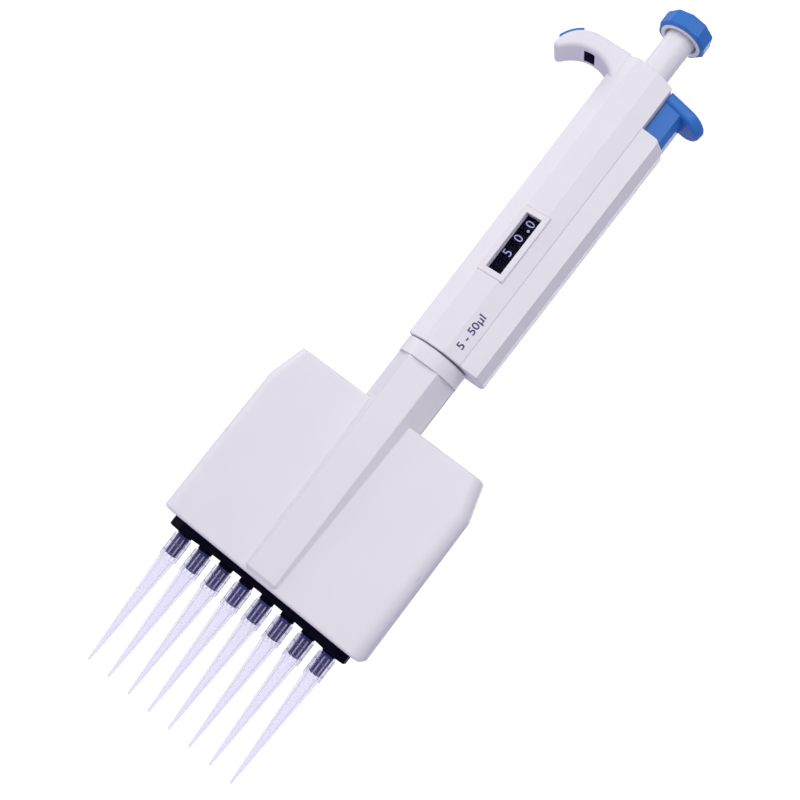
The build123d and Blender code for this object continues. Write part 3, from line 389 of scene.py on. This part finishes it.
# ---- Printed digits and range ---------------------------------------------------------------
def text_mesh(name, text, height, weight=0.0):
    """Flat lettering as a mesh in the XY plane, centred, with its capital height set."""
    curve = bpy.data.curves.new(name, "FONT")
    curve.body = text
    curve.align_x = "CENTER"
    curve.align_y = "CENTER"
    curve.size = height / CAPITAL_SHARE
    curve.resolution_u = 6
    curve.offset = weight * height
    temp = bpy.data.objects.new(name + "_text", curve)
    bpy.context.scene.collection.objects.link(temp)
    bpy.context.view_layer.update()
    mesh = bpy.data.meshes.new_from_object(temp)
    bpy.data.objects.remove(temp)
    bpy.data.curves.remove(curve)
    mesh.name = name
    return mesh


def add_piece(name, mesh, material, body):
    """A printed piece that rides a body of the frame."""
    mesh.materials.clear()
    mesh.materials.append(material)
    piece = bpy.data.objects.new(name, mesh)
    bpy.context.scene.collection.objects.link(piece)
    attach(piece, body)


def rim_point(radius, turn, level):
    """A point on a wheel's rim. Turn 0 faces -Y."""
    return Vector((radius * math.sin(turn), -radius * math.cos(turn), level))


def print_digit(bm, digit, radius, turn, level):
    """One digit on the rim, with its top towards -X when it faces -Y."""
    flat = text_mesh("digit", digit, DIGIT_HEIGHT)
    part = bmesh.new()
    part.from_mesh(flat)
    bmesh.ops.subdivide_edges(part, edges=part.edges, cuts=1)
    for vertex in part.verts:
        across, up = vertex.co.x * DIGIT_WIDTH_SCALE, vertex.co.y
        vertex.co = rim_point(radius, turn - up / radius, level + across)
    part.to_mesh(flat)
    part.free()
    bm.from_mesh(flat)
    bpy.data.meshes.remove(flat)


def print_dot(bm, radius, turn, level):
    """One round point on the rim."""
    centre = bm.verts.new(rim_point(radius, turn, level))
    edge = []
    for k in range(DOT_SIDES):
        angle = k * 2 * math.pi / DOT_SIDES
        around, up = DOT_RADIUS * math.cos(angle), DOT_RADIUS * math.sin(angle)
        edge.append(bm.verts.new(rim_point(radius, turn + around / radius, level + up)))
    for k in range(DOT_SIDES):
        bm.faces.new((centre, edge[k], edge[(k + 1) % DOT_SIDES]))


def wheel_digits(node, body, digits, dots=False, shift=0.0):
    """Digits round a wheel, evenly spaced, and a point beside each where the wheel has them."""
    low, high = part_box(node)
    middle = (low[2] + high[2]) / 2
    radius = (high[0] - low[0]) / 2 + DIGIT_LIFT
    turns = [FIRST_DIGIT_TURN + k * 2 * math.pi / len(digits) for k in range(len(digits))]
    bm = bmesh.new()
    for digit, turn in zip(digits, turns):
        print_digit(bm, digit, radius, turn + shift, middle)
    if dots:
        for turn in turns:
            print_dot(bm, radius, turn + DOT_TURN, middle + DOT_OFFSET)
    mesh = bpy.data.meshes.new(node + "_digits")
    bm.to_mesh(mesh)
    bm.free()
    add_piece(node + "_digits", mesh, digit_ink, body)


def range_label():
    """The volume range, stretched to its length and laid on the leaning facet."""
    mesh = text_mesh("volume_range", LABEL_TEXT, LABEL_HEIGHT, LABEL_WEIGHT)
    low = min(v.co.x for v in mesh.vertices)
    high = max(v.co.x for v in mesh.vertices)
    stretch = LABEL_LENGTH / (high - low)
    middle = (low + high) / 2
    along = (Vector((0, 0, 1)) + FACET_LEAN * FACET_NORMAL).normalized()
    normal = (FACET_NORMAL - FACET_LEAN * Vector((0, 0, 1))).normalized()
    up = normal.cross(along)
    place = Vector((LABEL_PLACE.x * HANDLE_GROWTH, LABEL_PLACE.y * HANDLE_GROWTH, LABEL_PLACE.z))
    for vertex in mesh.vertices:
        flat = vertex.co.copy()
        vertex.co = place + along * ((flat.x - middle) * stretch) + up * flat.y + normal * LABEL_LIFT
    add_piece("volume_range", mesh, label_ink, "handle")


# ---- Floor, light and camera ----------------------------------------------------------------
def pale_floor():
    """A wide paper floor, evenly pale to the camera and matt to everything else."""
    bpy.ops.mesh.primitive_plane_add(size=FLOOR_SIZE, location=(0, 0, 0))
    floor = bpy.context.object
    floor.name = "floor"
    material, tree, output = new_material("floor_paper")
    grain = noise(tree, position(tree), scale=400.0, detail=2.0)
    paper = blend_colours(tree, grain, rgba(FLOOR_SHADE), rgba(FLOOR_LIGHT))
    matt = add_node(tree, "ShaderNodeBsdfDiffuse", {"Color": rgba(FLOOR_BOUNCE)})
    glow = add_node(tree, "ShaderNodeEmission", {"Color": paper, "Strength": BACKDROP_GLOW})
    seen = add_node(tree, "ShaderNodeLightPath").outputs["Is Camera Ray"]
    surface = blend_shaders(tree, seen, matt.outputs[0], glow.outputs[0])
    tree.links.new(surface, output.inputs["Surface"])
    floor.data.materials.append(material)


def studio_sky():
    """White to the camera, soft lavender light, dimmer from the right, to everything else."""
    world = bpy.data.worlds.new("studio")
    bpy.context.scene.world = world
    world.use_nodes = True
    tree = world.node_tree
    tree.nodes.clear()
    output = tree.nodes.new("ShaderNodeOutputWorld")
    direction = add_node(tree, "ShaderNodeTexCoord").outputs["Generated"]
    side = add_node(tree, "ShaderNodeSeparateXYZ", {0: direction}).outputs["X"]
    strength = remap(tree, side, (0.0, 1.0), SKY_STRENGTH)
    white = add_node(tree, "ShaderNodeBackground", {"Color": rgba(WHITE), "Strength": BACKDROP_GLOW})
    soft = add_node(tree, "ShaderNodeBackground", {"Color": rgba(SKY_TINT), "Strength": strength})
    seen = add_node(tree, "ShaderNodeLightPath").outputs["Is Camera Ray"]
    surface = blend_shaders(tree, seen, soft.outputs[0], white.outputs[0])
    tree.links.new(surface, output.inputs["Surface"])


def softbox(name, azimuth, elevation, distance, size, power, tint):
    """A square area light aimed at the middle of the object."""
    a, e = math.radians(azimuth), math.radians(elevation)
    direction = Vector((math.sin(a) * math.cos(e), -math.cos(a) * math.cos(e), math.sin(e)))
    light = bpy.data.lights.new(name, "AREA")
    light.shape = "SQUARE"
    light.size = size
    light.energy = power
    light.color = tint
    lamp = bpy.data.objects.new(name, light)
    lamp.location = LIGHT_TARGET + distance * direction
    lamp.rotation_euler = (-direction).to_track_quat("-Z", "Y").to_euler()
    bpy.context.scene.collection.objects.link(lamp)


def place_camera():
    """The camera looks slightly up at the object, and rolls so that the object leans to the right."""
    data = bpy.data.cameras.new("camera")
    data.sensor_width = CAMERA_SENSOR
    data.lens = CAMERA_LENS
    data.shift_x, data.shift_y = CAMERA_SHIFT
    camera = bpy.data.objects.new("camera", data)
    forward = (CAMERA_AIM - CAMERA_PLACE).normalized()
    level_right = forward.cross(Vector((0, 0, 1))).normalized()
    level_up = level_right.cross(forward)
    c, s = math.cos(CAMERA_ROLL), math.sin(CAMERA_ROLL)
    right = level_right * c + level_up * s
    up = level_up * c - level_right * s
    turn = Matrix((right, up, -forward)).transposed().to_4x4()
    camera.matrix_world = Matrix.Translation(CAMERA_PLACE) @ turn
    bpy.context.scene.collection.objects.link(camera)
    bpy.context.scene.camera = camera


# ---- Scene ----------------------------------------------------------------------------------
dress_nodes()
digit_ink = ink("digit_ink", DIGIT_WHITE)
label_ink = ink("label_ink", PRINT_VIOLET)
wheel_digits("wheel_tens", "tens_wheel", TENS_ORDER)
wheel_digits("wheel_units", "units_wheel", UNITS_ORDER)
wheel_digits("wheel_tenths", "setting_screw", TENTHS_ORDER, dots=True, shift=TENTHS_SHIFT)
range_label()

pale_floor()
studio_sky()
for name, settings in SOFTBOXES.items():
    softbox(name, *settings)
place_camera()
bpy.context.scene.view_settings.view_transform = "Standard"
bpy.context.scene.view_settings.look = "None"
